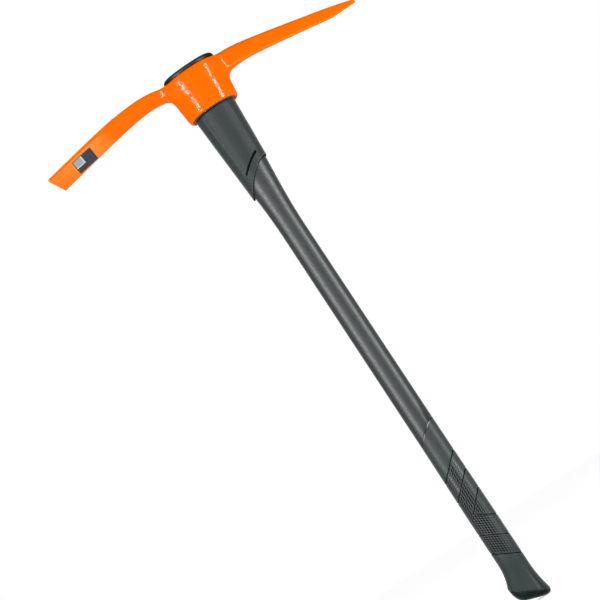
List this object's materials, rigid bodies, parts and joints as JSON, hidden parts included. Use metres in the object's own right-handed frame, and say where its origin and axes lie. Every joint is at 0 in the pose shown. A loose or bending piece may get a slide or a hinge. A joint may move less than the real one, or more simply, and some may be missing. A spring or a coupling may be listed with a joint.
{
  "type": "pick mattock",
  "caption": "Pick mattock: a forged head with a pointed pick and a broad adze on a long drop-in synthetic handle with a strike guard, a grooved grip and a flared butt.",
  "frame": {"origin": "on the handle's axis, level with the lowest point of the butt", "axes": "+Z along the handle from the butt to the head, +X towards the pick point, +Y across the adze blade"},
  "size_m": [0.512, 0.0886, 0.914],
  "materials": {
    "head_enamel": "glossy orange enamel on forged steel",
    "cap_black": "satin black moulding",
    "core_resin": "pale glass-fibre rod",
    "jacket_grey": "smooth grey moulding",
    "guard_grey": "satin grey elastomer",
    "grip_grey": "satin grey elastomer with hatched fields",
    "butt_black": "satin near-black moulding"
  },
  "bodies": {
    "handle": {"handle_jacket": "jacket_grey", "handle_core": "core_resin", "eye_cap": "cap_black", "strike_guard": "guard_grey", "grip_sleeve": "grip_grey", "butt_cap": "butt_black"},
    "head": {"mattock_head": "head_enamel"}
  },
  "joints": [
    {"name": "head_slide", "type": "slide", "parent": "handle", "child": "head", "axis": [0, 0, -1], "range_m": [0, 0.83]}
  ]
}
